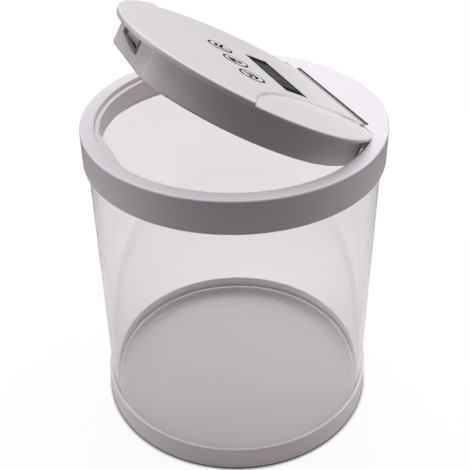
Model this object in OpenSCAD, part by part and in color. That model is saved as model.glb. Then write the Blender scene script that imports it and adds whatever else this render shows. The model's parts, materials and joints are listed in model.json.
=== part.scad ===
// Timed lock container: a clear round jar with a white base, a white collar and
// a hinged electronic lid that a motor-driven bolt locks into the collar.
// +Z is up, the origin is the centre of the base's underside, the hinge is at +Y
// and the latch is at -Y. The lid is drawn shut and then turned open on its hinge.

/* [Jar] */
// Outer radius of the collar
collar_r = 79; // [76:0.5:84]
// Height of the collar's top face above the table
jar_h = 179.6; // [150:0.2:220]
// Height of the collar's outer band
collar_h = 18.4; // [17:0.2:24]
// Outer radius of the clear tube
tube_r = 76.7; // [76.5:0.1:76.7]
// Wall of the clear tube
tube_wall = 2.6; // [2.4:0.1:2.6]
// Outer radius of the base
base_r = 78.4; // [78:0.1:79]
// Height of the base's outer wall
base_h = 15; // [12:0.5:22]
// Radius of the mouth in the collar's top face
mouth_r = 71.6; // [71.5:0.05:71.8]

/* [Lid] */
// How far the lid stands open, as photographed
lid_open = 29.4; // [0:0.1:59]
// Radius of the lid's rim
lid_r = 71.1; // [70.6:0.1:71.2]
// Height of the raised middle above the collar's top face
plateau = 1.2; // [0.8:0.1:1.6]
// Radius of the round housing under the lid
housing_r = 66.4; // [65:0.2:67]
// Depth of the housing below the collar's top face
housing_h = 17.2; // [16.8:0.1:18]
// Half width of the tongue that runs back between the two ears
tongue_w = 36.6; // [34:0.2:38]

/* [Hinge] */
// Distance of the hinge axis behind the jar's centre
pivot_y = 52.5; // [52:0.1:53]
// Depth of the hinge axis below the collar's top face
pivot_drop = 3.6; // [3.5:0.05:3.8]
// Radius of the hinge pins
pin_r = 1.5; // [1.2:0.05:1.6]

/* [Controls] */
// Width of the display window
window_w = 47; // [40:0.5:50]
// Depth of the display window, front to back
window_d = 14; // [12:0.5:15]
// Distance between neighbouring buttons
button_pitch = 19; // [18:0.5:22]
// Radius of a button
button_r = 6.6; // [6:0.1:7.5]

/* [Latch] */
// Travel of the bolt between open and locked
bolt_travel = 11.8; // [8:0.1:11.8]
// Gear module of the pinion and the rack
gear_module = 0.5; // [0.5:0.05:0.5]
// Number of teeth on the pinion
pinion_teeth = 12; // [12:1:12]

/* [Hidden] */

$fn = 96;
eps = 0.01;

// jar
tube_in = tube_r - tube_wall;
tube_top = jar_h - 12;
base_floor = 3.8;
base_slot = 4.5;
ridge_out = tube_in - 0.6;
ridge_in = ridge_out - 1.6;
ridge_top = 9.7;
ledge_z = jar_h - 2.4;
ledge_in = 69.1;
liner_out = tube_in - 0.05;
liner_bot = jar_h - 12.4;
keeper_y = 66.9;
crescent_t = 2.35;

// hinge
pivot_z = jar_h - pivot_drop;
barrel_r = pivot_drop + plateau;
boss_r = pivot_drop - 0.2;
boss_gap = 0.4;
ear_end = 2;
ear_clear = 4.4;
crescent_gap = 0.45;
seat_t = 2;
pin_in = tongue_w - 7;
pin_out = 46;
running = 0.05;

// lid
plate_bot = jar_h - 1.8;
plate_top = jar_h + plateau;
rim_taper = 1.6;
ear_x = 89.6;
ear_y = 24;
ear_r = 60.1;
facet_y = 60.4;
wall = 2;
floor_z = jar_h - housing_h;
cavity_z = floor_z + wall;
cavity_back = pivot_y - 7;
back_y = pivot_y + 4.5;
// straight cheek beside each end of the hinge, and the slot in it
cheek_r = 68.6;
cheek_from = [58.6, 31.2];
cheek_to = [48.5, 50.2];
slot_at = [51.1, 45.3];
slot_w = 1.6;
slot_top = jar_h - 6.6;

// controls
window_y = 16.6;
window_gap = 0.2;
button_y = -9.1;
button_gap = 0.3;
board_z = jar_h - 7.8;
board_t = 1.6;
board_top = board_z + board_t;
post_xy = [[-28, -16], [28, -16], [-28, 25], [28, 25]];
screw_xy = [[-49, -26], [49, -26], [-54, 16], [54, 16]];

// batteries
cell_r = 5.25;
cell_len = 43;
cell_y = 36;
cell_z = cavity_z + cell_r + 0.3;
door_w = 93;
door_d = 13;
door_t = 1.6;
door_gap = 0.25;

// latch: the pinion turns on an axis along X, above the rack
bolt_x = -11;
neck_w = 12;
head_x0 = -20.6;
head_x1 = -1.6;
bolt_tip = -57;
bolt_corner = -58.9;
head_neck = -46.3;
neck_z = jar_h - 9.4;
bolt_z0 = jar_h - 11;
bolt_z1 = jar_h - 5.2;
sill = [[-22, jar_h - 9], [-9.4, jar_h - 11.2], [1, jar_h - 12.2]];
arm_w = 6;
arm_z = cavity_z + 0.3;
arm_front = -43.9;
head_back = -43.7;
pinion_pr = gear_module * pinion_teeth / 2;
pinion_y = -39.6;
pinion_z = jar_h - 7.6;
pinion_len = 5;
rack_pitch = PI * gear_module;
rack_teeth = ceil(bolt_travel / rack_pitch) + 4;
addendum = gear_module;
dedendum = 1.25 * gear_module;
backlash = 0.09;
mesh_gap = 0.04;
shaft_r = 1.5;
motor_x = -3.5;

module lid_pose()
  translate([0, pivot_y, pivot_z])
    rotate([-lid_open, 0, 0])
      translate([0, -pivot_y, -pivot_z])
        children();

// a bar along X, centred on the hinge axis
module on_axis(r, x0, x1)
  translate([x0, pivot_y, pivot_z])
    rotate([0, 90, 0])
      cylinder(r = r, h = x1 - x0);

module both_sides() {
  children();
  mirror([1, 0, 0]) children();
}

module block(lo, hi)
  translate(lo) cube(hi - lo);

// ---- jar ----

module base_cap() color("white") {
  edge = 1;
  foot_in = 68;
  recess = 1;
  rotate_extrude()
    polygon([
      [0, recess], [foot_in, recess], [foot_in + recess, 0],
      [base_r - edge, 0], [base_r, edge], [base_r, base_h - 0.6],
      [base_r - 0.6, base_h], [tube_r + 0.05, base_h], [tube_r + 0.05, base_slot],
      [ridge_out, base_slot], [ridge_out, ridge_top], [ridge_in, ridge_top],
      [ridge_in, base_floor], [0, base_floor]
    ]);
}

module clear_tube() color("lightcyan", 0.3)
  translate([0, 0, base_slot])
    difference() {
      cylinder(r = tube_r, h = tube_top - base_slot);
      translate([0, 0, -1])
        cylinder(r = tube_in, h = tube_top - base_slot + 2);
    }

// the fixed rear part of the top face: it runs up to the tongue's round end and,
// beside the tongue, up to the hinge bosses
module crescent()
  difference() {
    translate([0, 0, jar_h - crescent_t])
      cylinder(r = mouth_r + 1, h = crescent_t);
    block([-collar_r, -collar_r, 0], [collar_r, pivot_y + 2.3, jar_h + 1]);
    block([-tongue_w - boss_gap, 0, 0],
          [tongue_w + boss_gap, pivot_y + barrel_r + crescent_gap, jar_h + 1]);
    on_axis(boss_r + 0.05, -collar_r, collar_r);
  }

// curved seat under the crescent, close behind the tongue's round end
module barrel_seat()
  difference() {
    on_axis(barrel_r + crescent_gap + seat_t, -33, 33);
    on_axis(barrel_r + crescent_gap, -collar_r, collar_r);
    block([-collar_r, 0, 0], [collar_r, pivot_y + 3.6, jar_h + 5]);
    block([-collar_r, 0, jar_h - crescent_t + eps], [collar_r, collar_r, jar_h + 5]);
    block([-collar_r, 0, 0], [collar_r, collar_r, pivot_z - 2.4]);
  }

module collar() color("white") {
  edge = 0.8;
  skirt_in = tube_r + 0.05;
  foot = jar_h - collar_h;
  rotate_extrude()
    polygon([
      [skirt_in, foot], [collar_r + 0.1, foot], [collar_r, jar_h - edge],
      [collar_r - 0.25, jar_h - 0.25], [collar_r - edge, jar_h],
      [mouth_r + 0.3, jar_h], [mouth_r, jar_h - 0.3], [mouth_r, ledge_z],
      [liner_out + 0.05, ledge_z], [liner_out + 0.05, tube_top + 0.05],
      [skirt_in, tube_top + 0.05]
    ]);
  crescent();
  barrel_seat();
}

module collar_liner() color("white")
  difference() {
    union() {
      rotate_extrude()
        polygon([
          [ledge_in, ledge_z - 0.3], [ledge_in + 0.3, ledge_z], [liner_out, ledge_z],
          [liner_out, liner_bot], [ledge_in, liner_bot]
        ]);
      // flat keeper wall that the bolt enters
      intersection() {
        translate([0, 0, liner_bot]) cylinder(r = ledge_in + 1, h = ledge_z - liner_bot);
        block([-collar_r, -collar_r, 0], [collar_r, -keeper_y, jar_h]);
      }
      // hinge bosses, one each side of the tongue
      intersection() {
        both_sides() on_axis(boss_r, tongue_w + boss_gap, tongue_w + 16);
        cylinder(r = mouth_r - 0.1, h = jar_h);
      }
    }
    // keeper pocket
    intersection() {
      block([head_x0 - 0.8, -collar_r, liner_bot - eps],
            [head_x1 + 0.8, -keeper_y + 1, bolt_z1 + 0.6]);
      cylinder(r = liner_out - 0.35, h = jar_h);
    }
    both_sides() on_axis(pin_r, tongue_w, pin_out);
  }

module hinge_pins() color("silver")
  both_sides() on_axis(pin_r, pin_in, pin_out);

// ---- lid shells ----

module lid_disc(top)
  rotate_extrude()
    polygon([
      [0, plate_bot], [lid_r - rim_taper, plate_bot], [lid_r - 0.2, top - 1],
      [lid_r, top - 0.6], [lid_r - 0.2, top - 0.2], [lid_r - 0.6, top], [0, top]
    ]);

module lid_cover() color("white") lid_pose()
  difference() {
    union() {
      // raised middle, cut back along an arc over each ear
      difference() {
        lid_disc(plate_top);
        both_sides()
          translate([ear_x, ear_y, jar_h])
            cylinder(r1 = ear_r, r2 = ear_r + plateau, h = plateau + eps);
        block([-collar_r, pivot_y, 0], [collar_r, collar_r, jar_h + 5]);
      }
      // ears, level with the collar's top face
      difference() {
        lid_disc(jar_h);
        both_sides()
          block([tongue_w, pivot_y - ear_end, 0], [collar_r, collar_r, jar_h + 5]);
        block([-collar_r, pivot_y, 0], [collar_r, collar_r, jar_h + 5]);
      }
      on_axis(barrel_r, -tongue_w, tongue_w);
      // posts for the circuit board and for the housing's screws
      for (p = post_xy)
        translate([p[0], p[1], board_top]) cylinder(r = 2.4, h = plate_bot - board_top + eps);
      for (p = screw_xy)
        translate([p[0], p[1], jar_h - 7]) cylinder(r = 3.2, h = 7 - 1.8 + eps);
    }
    both_sides() {
      block([tongue_w, pivot_y - ear_end, 0], [collar_r, collar_r, jar_h + 5]);
      on_axis(boss_r + 0.3, tongue_w, collar_r);
      on_axis(ear_clear, pin_out, collar_r);
      on_axis(pin_r + running, pin_in - 0.2, tongue_w + 1);
    }
    translate([-window_w / 2 - window_gap, window_y - window_d / 2 - window_gap, 0])
      cube([window_w + 2 * window_gap, window_d + 2 * window_gap, jar_h + 5]);
    for (i = [-1:1])
      translate([i * button_pitch, button_y, plate_bot - 1])
        cylinder(r = button_r + button_gap, h = 6);
    for (p = post_xy)
      translate([p[0], p[1], board_top - 1]) cylinder(r = 0.8, h = 5);
    for (p = screw_xy)
      translate([p[0], p[1], jar_h - 8]) cylinder(r = 1.05, h = 6.5);
  }

// housing outline: round, with a flat front for the latch and a flat back
module housing_plan(inset)
  intersection() {
    circle(r = housing_r - inset);
    translate([-collar_r, -facet_y + inset])
      square([2 * collar_r, facet_y + back_y - 2 * inset]);
  }

// the housing's outline with the straight cheeks beside the hinge
module cheek_plan(inset) {
  housing_plan(inset);
  intersection() {
    circle(r = cheek_r - inset);
    both_sides()
      translate([-inset, 0])
        polygon([
          [cheek_from[0] - 28, cheek_from[1]], cheek_from, cheek_to,
          [cheek_from[0] - 28, cheek_to[1]]
        ]);
  }
}

module door_plan(grow) {
  translate([-door_w / 2 - grow, cell_y - door_d / 2 - grow])
    square([door_w + 2 * grow, door_d + 2 * grow]);
  translate([0, cell_y - door_d / 2 - 1]) circle(r = 5 + grow);
}

module lid_housing() color("white") lid_pose()
  difference() {
    union() {
      difference() {
        union() {
          translate([0, 0, floor_z]) linear_extrude(0.8 + eps) cheek_plan(0.5);
          translate([0, 0, floor_z + 0.8])
            linear_extrude(plate_bot - floor_z - 0.8) cheek_plan(0);
        }
        intersection() {
          translate([0, 0, cavity_z]) linear_extrude(jar_h) housing_plan(wall);
          block([-collar_r, -collar_r, 0], [collar_r, cavity_back, jar_h + 5]);
        }
      }
      for (p = screw_xy)
        translate([p[0], p[1], floor_z + 1]) cylinder(r = 3.6, h = housing_h - 7 - 1 - 0.1);
      // guide ribs beside the bolt's arm
      for (s = [-1, 1])
        block([bolt_x + s * (arm_w / 2 + 1.1) - 0.8, -facet_y + wall - eps, cavity_z - eps],
              [bolt_x + s * (arm_w / 2 + 1.1) + 0.8, -24, bolt_z0 - 0.8]);
      // cradle under the motor
      block([0, pinion_y - 6.5, cavity_z - eps], [16, pinion_y + 6.5, pinion_z - 5.1]);
      // wall in front of the cells, and the boss that the door screws into
      block([-48, cell_y - 8, cavity_z - eps], [48, cell_y - 6.8, jar_h - 9]);
      translate([0, cell_y - door_d / 2 - 1.5, cavity_z - eps])
        cylinder(r = 2.8, h = 5);
    }
    // latch window: its sill rises towards one end
    translate([0, -facet_y + wall + 1, 0]) rotate([90, 0, 0])
      linear_extrude(wall + 2)
        polygon([each sill, [1, jar_h - 3.6], [-22, jar_h - 3.6]]);
    on_axis(barrel_r + 0.5, -collar_r, collar_r);
    both_sides()
      translate([slot_at[0], slot_at[1], 0])
        rotate([0, 0, atan2(cheek_from[0] - cheek_to[0], cheek_to[1] - cheek_from[1])])
          translate([-3.5, -slot_w / 2, 0]) cube([6, slot_w, slot_top]);
    // door opening with its seat
    translate([0, 0, floor_z - 1]) linear_extrude(door_t + 1) door_plan(door_gap);
    translate([0, cell_y, floor_z]) translate([-door_w / 2 + 1.5, -door_d / 2 + 1, 0])
      cube([door_w - 3, door_d - 2, wall + 1]);
    translate([0, cell_y - door_d / 2 - 1.5, floor_z - 1]) cylinder(r = 0.9, h = 7);
    for (p = screw_xy) {
      translate([p[0], p[1], floor_z - 1]) cylinder(r = 1.35, h = housing_h);
      translate([p[0], p[1], floor_z - 1]) cylinder(r = 2.9, h = 5.5);
    }
  }

module screw(head_r, head_h, shank_r, length) {
  difference() {
    cylinder(r = head_r, h = head_h);
    for (a = [0, 90])
      rotate([0, 0, a])
        translate([-head_r * 0.6, -0.3, -1]) cube([head_r * 1.2, 0.6, 1 + head_h * 0.5]);
  }
  translate([0, 0, head_h - eps]) cylinder(r = shank_r, h = length);
}

module housing_screws() color("silver") lid_pose()
  for (p = screw_xy)
    translate([p[0], p[1], floor_z + 2.6]) screw(2.6, 1.9, 1.03, 10.5);

// ---- display and controls ----

module display_window() color([0.08, 0.08, 0.09]) lid_pose() {
  translate([-window_w / 2, window_y - window_d / 2, plate_bot - 0.1])
    cube([window_w, window_d, plate_top - plate_bot - 0.2]);
  translate([-window_w / 2 - 1.4, window_y - window_d / 2 - 1.4, plate_bot - 1.05])
    cube([window_w + 2.8, window_d + 2.8, 1]);
}

module lcd_module() color([0.35, 0.38, 0.37]) lid_pose() {
  block([-20, window_y - 7.5, board_top + 0.05], [20, window_y + 7.5, plate_bot - 1.2]);
}

module circuit_board() color("seagreen") lid_pose()
  difference() {
    block([-32, -20, board_z], [32, 28, board_top]);
    for (p = post_xy)
      translate([p[0], p[1], board_z - 1]) cylinder(r = 1.1, h = board_t + 2);
  }

module board_screws() color("silver") lid_pose()
  for (p = post_xy)
    translate([p[0], p[1], board_z - 1.3]) screw(2, 1.25, 0.78, 5);

module tact_switches() color("dimgray") lid_pose()
  for (i = [-1:1])
    translate([i * button_pitch, button_y, board_top + 0.02]) {
      translate([-3, -3, 0]) cube([6, 6, 1.8]);
      cylinder(r = 1.6, h = 2.2);
    }

module buzzer() color("black") lid_pose()
  translate([20, 4, board_z - 4.52])
    difference() {
      cylinder(r = 6, h = 4.5);
      translate([0, 0, -1]) cylinder(r = 1, h = 2);
    }

module button(i) lid_pose()
  translate([i * button_pitch, button_y, 0]) {
    dish_r = 40;
    difference() {
      union() {
        translate([0, 0, plate_bot - 0.8]) cylinder(r = button_r, h = plate_top - plate_bot + 0.7);
        translate([0, 0, plate_top - 0.1 - eps]) cylinder(r1 = button_r, r2 = button_r - 0.4, h = 0.4);
      }
      translate([0, 0, plate_top + dish_r - 0.1]) sphere(r = dish_r);
    }
    translate([0, 0, plate_bot - 0.85]) cylinder(r = button_r + 1.1, h = 0.8);
    translate([0, 0, plate_bot - 1.6]) cylinder(r = 1.5, h = 1);
  }

module down_button() color("white") button(-1);
module lock_button() color("white") button(0);
module up_button() color("white") button(1);

// ---- power ----

module battery_door() color("white") lid_pose()
  difference() {
    translate([0, 0, floor_z]) linear_extrude(door_t - 0.1) door_plan(0);
    translate([0, cell_y - door_d / 2 - 1.5, floor_z - 1]) {
      cylinder(r = 1.2, h = 5);
      cylinder(r = 2.5, h = 1.7);
    }
    // finger grooves
    for (i = [-3:3])
      block([-38 + i * 1.6 - 0.4, cell_y - 4, floor_z - 1], [-38 + i * 1.6 + 0.4, cell_y + 4, floor_z + 0.4]);
  }

module battery_door_screw() color("silver") lid_pose()
  translate([0, cell_y - door_d / 2 - 1.5, floor_z - 0.2]) screw(2.3, 0.85, 0.88, 5);

module batteries() color("goldenrod") lid_pose()
  for (s = [-1, 1])
    translate([s * 22.6 - cell_len / 2, cell_y, cell_z]) rotate([0, 90, 0]) {
      cylinder(r = cell_r, h = cell_len);
      translate([0, 0, cell_len - eps]) cylinder(r = 1.9, h = 0.8);
    }

module battery_contacts() color("silver") lid_pose() {
  plate = 0.6;
  tall = 8;
  for (x = [-46.6, 46])
    translate([x, cell_y - tall / 2, cell_z - tall / 2]) cube([plate, tall, tall]);
  translate([-46.05, cell_y, cell_z]) rotate([0, 90, 0]) cylinder(r1 = 4, r2 = 2.5, h = 1.9);
  translate([44.95, cell_y, cell_z]) rotate([0, 90, 0]) cylinder(r = 1.6, h = 1.1);
}

// ---- latch ----

module gear_motor() color("gray") lid_pose()
  translate([motor_x, pinion_y, pinion_z]) rotate([0, 90, 0])
    difference() {
      union() {
        translate([-5, -6, 0]) cube([10, 12, 9]);
        translate([0, 0, 9 - eps])
          intersection() {
            cylinder(r = 6, h = 15);
            translate([-5, -6, 0]) cube([10, 12, 15]);
          }
        translate([0, 0, 24 - eps * 2]) cylinder(r = 2.4, h = 1);
      }
      translate([0, 0, -1]) cylinder(r = shaft_r + running, h = 6);
    }

module motor_shaft() color("silver") lid_pose()
  translate([bolt_x - pinion_len / 2 - 1, pinion_y, pinion_z]) rotate([0, 90, 0])
    cylinder(r = shaft_r, h = motor_x + 4 - (bolt_x - pinion_len / 2 - 1));

// one tooth in the plane, its tip towards +X, its pitch line at x = 0
module tooth() {
  half = rack_pitch / 4 - backlash;
  slope = tan(20);
  polygon([
    [-dedendum - 0.1, -half - (dedendum + 0.1) * slope], [addendum, -half + addendum * slope],
    [addendum, half - addendum * slope], [-dedendum - 0.1, half + (dedendum + 0.1) * slope]
  ]);
}

module drive_pinion() color("ivory") lid_pose()
  translate([bolt_x - pinion_len / 2, pinion_y, pinion_z]) rotate([0, 90, 0])
    difference() {
      linear_extrude(pinion_len) {
        circle(r = pinion_pr - dedendum);
        for (i = [0:pinion_teeth - 1])
          rotate(i * 360 / pinion_teeth) translate([pinion_pr, 0]) tooth();
      }
      translate([0, 0, -1]) cylinder(r = shaft_r, h = pinion_len + 2);
    }

module latch_bolt() color("white") lid_pose() {
  rack_line = pinion_z - pinion_pr - mesh_gap;
  rack_top = rack_line - dedendum;
  // head: its front is recessed on one side, its underside follows the window's sill
  intersection() {
    linear_extrude(bolt_z1)
      polygon([
        [head_x0, bolt_corner], [bolt_x, bolt_tip], [head_x1, bolt_tip],
        [head_x1, head_neck], [head_x0, head_neck]
      ]);
    translate([0, 0, 0.35]) rotate([90, 0, 0])
      linear_extrude(collar_r)
        polygon([each sill, [1, jar_h], [-22, jar_h]]);
  }
  block([bolt_x - neck_w / 2, head_neck - 1, neck_z], [bolt_x + neck_w / 2, head_back, bolt_z1]);
  block([bolt_x - arm_w / 2, arm_front, arm_z],
        [bolt_x + arm_w / 2, pinion_y + (rack_teeth - 1.5) * rack_pitch, rack_top]);
  block([bolt_x - arm_w / 2, head_back - 2, arm_z],
        [bolt_x + arm_w / 2, head_back, bolt_z1]);
  for (i = [-1:rack_teeth - 3])
    translate([bolt_x + arm_w / 2, pinion_y + (i + 0.5) * rack_pitch, rack_line])
      rotate([0, -90, 0])
        linear_extrude(arm_w) tooth();
}

base_cap();
clear_tube();
collar();
collar_liner();
hinge_pins();
lid_cover();
lid_housing();
display_window();
lcd_module();
circuit_board();
board_screws();
tact_switches();
buzzer();
down_button();
lock_button();
up_button();
battery_door();
battery_door_screw();
batteries();
battery_contacts();
gear_motor();
motor_shaft();
drive_pinion();
latch_bolt();
housing_screws();
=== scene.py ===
import bmesh
import bpy
import json
import math
import numpy as np
from mathutils import Matrix, Vector


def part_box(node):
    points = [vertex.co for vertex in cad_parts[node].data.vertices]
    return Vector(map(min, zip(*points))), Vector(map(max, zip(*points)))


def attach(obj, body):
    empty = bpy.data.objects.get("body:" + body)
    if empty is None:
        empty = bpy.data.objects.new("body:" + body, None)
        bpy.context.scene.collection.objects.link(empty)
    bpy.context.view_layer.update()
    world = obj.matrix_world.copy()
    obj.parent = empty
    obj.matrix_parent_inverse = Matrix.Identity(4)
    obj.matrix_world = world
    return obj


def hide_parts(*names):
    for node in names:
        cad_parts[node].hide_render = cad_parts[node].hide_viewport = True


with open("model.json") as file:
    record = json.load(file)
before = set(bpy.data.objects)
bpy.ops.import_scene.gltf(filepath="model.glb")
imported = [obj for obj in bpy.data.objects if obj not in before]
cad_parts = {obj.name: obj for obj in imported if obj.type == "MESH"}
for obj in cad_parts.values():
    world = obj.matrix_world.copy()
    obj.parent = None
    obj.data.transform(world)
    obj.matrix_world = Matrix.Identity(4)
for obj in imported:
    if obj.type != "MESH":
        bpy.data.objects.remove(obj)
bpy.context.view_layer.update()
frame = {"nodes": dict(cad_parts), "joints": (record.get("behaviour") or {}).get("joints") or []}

mm = 0.001

# the jar's own sizes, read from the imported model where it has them
jar = {
    "height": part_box("collar")[1][2],
    "collarRadius": 0.079,
    "collarBand": 18.4 * mm,
    "mouthRadius": 71.6 * mm,
    "ledgeDrop": 2.4 * mm,
    "tubeRadius": 76.7 * mm,
    "tubeWall": 2.6 * mm,
    "baseRadius": 78.4 * mm,
    "baseHeight": 15 * mm,
}

# the lid is worked out shut and then turned open about its hinge
hinge = next(j for j in frame["joints"] if j["name"] == "lid_hinge")
pivot = np.array(hinge["pos_m"])
lidOpen = math.radians(-hinge["range_deg"][0])


def openLid(points):
    # turns points about the hinge axis: the front rises by the lid's open angle
    p = np.array(points, float)
    y, z = p[..., 1] - pivot[1], p[..., 2] - pivot[2]
    c, s = math.cos(lidOpen), math.sin(lidOpen)
    out = p.copy()
    out[..., 1] = pivot[1] + y * c + z * s
    out[..., 2] = pivot[2] - y * s + z * c
    return out


def surface(name, points, wrapU=True, wrapV=False, poleStart=False, poleEnd=False, smooth=True):
    # a grid of points (u, v, xyz) becomes quads; a pole closes an end with triangles
    p = np.asarray(points, float)
    nu, nv = p.shape[:2]
    cols = np.arange(nv)
    if poleStart:
        cols = cols[1:]
    if poleEnd:
        cols = cols[:-1]
    body = p[:, cols]
    m = len(cols)
    ids = np.arange(nu * m).reshape(nu, m)
    nxt = np.roll(ids, -1, axis=0) if wrapU else ids[1:]
    cur = ids if wrapU else ids[:-1]
    if wrapV:
        a, b = cur, np.roll(cur, -1, axis=1)
        c, d = np.roll(nxt, -1, axis=1), nxt
    else:
        a, b, c, d = cur[:, :-1], cur[:, 1:], nxt[:, 1:], nxt[:, :-1]
    quads = np.stack([a, b, c, d], -1).reshape(-1, 4)
    verts = body.reshape(-1, 3)
    faces = quads.tolist()
    if poleStart:
        verts = np.vstack([verts, p[:, 0].mean(0)])
        k = len(verts) - 1
        faces += np.stack([np.full(len(cur), k), cur[:, 0], nxt[:, 0]], -1).tolist()
    if poleEnd:
        verts = np.vstack([verts, p[:, -1].mean(0)])
        k = len(verts) - 1
        faces += np.stack([cur[:, -1], np.full(len(cur), k), nxt[:, -1]], -1).tolist()
    mesh = bpy.data.meshes.new(name)
    mesh.from_pydata(verts.tolist(), [], faces)
    mesh.validate()
    ob = bpy.data.objects.new(name, mesh)
    bpy.context.scene.collection.objects.link(ob)
    turnOutward(ob)
    if smooth:
        mesh.polygons.foreach_set("use_smooth", np.ones(len(mesh.polygons), bool))
    return ob


def turnOutward(ob):
    # all faces of a closed mesh look outwards
    bm = bmesh.new()
    bm.from_mesh(ob.data)
    bmesh.ops.recalc_face_normals(bm, faces=bm.faces)
    bm.to_mesh(ob.data)
    bm.free()


def rounded(corners, closed=False, steps=5):
    # each corner (r, z, radius) becomes an arc that touches both of its sides
    pts = np.array([c[:2] for c in corners], float)
    rad = [c[2] if len(c) > 2 else 0 for c in corners]
    n = len(pts)
    out = []
    for i in range(n):
        if rad[i] <= 0 or (not closed and i in (0, n - 1)):
            out.append(pts[i])
            continue
        a, b, c = pts[i - 1], pts[i], pts[(i + 1) % n]
        u, w = (a - b) / np.linalg.norm(a - b), (c - b) / np.linalg.norm(c - b)
        half = math.acos(np.clip(u @ w, -1, 1)) / 2
        reach = rad[i] / math.tan(half)
        mid = b + (u + w) / np.linalg.norm(u + w) * rad[i] / math.sin(half)
        p0, p1 = b + u * reach, b + w * reach
        a0 = math.atan2(*(p0 - mid)[::-1])
        a1 = math.atan2(*(p1 - mid)[::-1])
        turn = (a1 - a0 + math.pi) % (2 * math.pi) - math.pi
        for t in np.linspace(0, 1, steps):
            out.append(mid + rad[i] * np.array([math.cos(a0 + turn * t), math.sin(a0 + turn * t)]))
    return np.array(out)


def revolve(profile, angles):
    # radius and height of each profile point, swung round the vertical axis
    r, z = profile[:, 0], profile[:, 1]
    x = r[None] * np.sin(angles)[:, None]
    y = r[None] * np.cos(angles)[:, None]
    return np.stack([x, y, np.broadcast_to(z, x.shape)], -1)


def circleAngles(count, extra=()):
    # even steps round the circle, with the corner angles of the shape added
    a = np.linspace(-math.pi, math.pi, count, endpoint=False)
    e = np.array(list(extra), float)
    if len(e):
        keep = np.abs(a[:, None] - e[None]).min(1) > 0.2 * 2 * math.pi / count
        a = np.concatenate([a[keep], e])
    return np.sort(a)


def cutAway(ob, cutters):
    # cuts closed shapes out of a piece and removes them again
    for k in cutters:
        mod = ob.modifiers.new("cut", "BOOLEAN")
        mod.operation = "DIFFERENCE"
        mod.solver = "MANIFOLD"
        mod.object = k
    dg = bpy.context.evaluated_depsgraph_get()
    mesh = bpy.data.meshes.new_from_object(ob.evaluated_get(dg))
    ob.modifiers.clear()
    old = ob.data
    ob.data = mesh
    bpy.data.meshes.remove(old)
    mesh.name = ob.name
    for k in cutters:
        bpy.data.objects.remove(k)


def softEdges(ob, angle=30):
    # keeps flats flat: bends over the angle stay sharp, and shading is weighted by face size
    mesh = ob.data
    mesh.polygons.foreach_set("use_smooth", np.ones(len(mesh.polygons), bool))
    mesh.set_sharp_from_angle(angle=math.radians(angle))
    w = ob.modifiers.new("normals", "WEIGHTED_NORMAL")
    w.keep_sharp = True
    w.weight = 80


def wire(tree, kind, **inputs):
    # a node with its inputs set: a socket links, anything else is a value; a key that starts
    # with _ is a property, i and a number is a numbered input, and __ stands for a space
    nd = tree.nodes.new("ShaderNode" + kind)
    for key, val in inputs.items():
        if key.startswith("_"):
            setattr(nd, key[1:], val)
            continue
        numbered = key[0] == "i" and key[1:].isdigit()
        sock = nd.inputs[int(key[1:]) if numbered else key.replace("__", " ")]
        if isinstance(val, bpy.types.NodeSocket):
            tree.links.new(val, sock)
        else:
            sock.default_value = val
    return nd


def newGroup(name, ins, outs):
    # an empty shader group with its inputs (name, kind, value) and outputs (name, kind)
    g = bpy.data.node_groups.new(name, "ShaderNodeTree")
    for n, kind, val in ins:
        s = g.interface.new_socket(name=n, in_out="INPUT", socket_type="NodeSocket" + kind)
        s.default_value = val
    for n, kind in outs:
        g.interface.new_socket(name=n, in_out="OUTPUT", socket_type="NodeSocket" + kind)
    return g, g.nodes.new("NodeGroupInput"), g.nodes.new("NodeGroupOutput")


def ramp(t, value, low, high, start=0.0, end=1.0):
    # runs from start to end while the value runs from low to high, and holds outside that
    return wire(t, "MapRange", i0=value, i1=low, i2=high, i3=start, i4=end).outputs[0]


def times(t, a, b):
    return wire(t, "Math", _operation="MULTIPLY", i0=a, i1=b).outputs[0]


def scaledAdd(t, a, factor, b):
    # a times the factor, plus b
    return wire(t, "Math", _operation="MULTIPLY_ADD", i0=a, i1=factor, i2=b).outputs[0]


def grainGroup():
    # fine spark-eroded mould texture with a slow waviness under it
    g, gi, go = newGroup("mouldGrain",
                         [("Scale", "Float", 1.0), ("Waviness", "Float", 0.3)],
                         [("Height", "Float"), ("Cloud", "Float")])
    co = wire(g, "TexCoord").outputs["Object"]
    scale = times(g, gi.outputs["Scale"], 2600.0)
    fine = wire(g, "TexNoise", Vector=co, Scale=scale, Detail=3.0, Roughness=0.55)
    slow = wire(g, "TexNoise", Vector=co, Scale=22.0, Detail=2.0, Roughness=0.5)
    waves = times(g, slow.outputs[0], gi.outputs["Waviness"])
    total = wire(g, "Math", _operation="ADD", i0=fine.outputs[0], i1=waves)
    g.links.new(total.outputs[0], go.inputs["Height"])
    cloud = wire(g, "TexNoise", Vector=co, Scale=14.0, Detail=4.0, Roughness=0.6)
    g.links.new(cloud.outputs[0], go.inputs["Cloud"])
    return g


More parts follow.
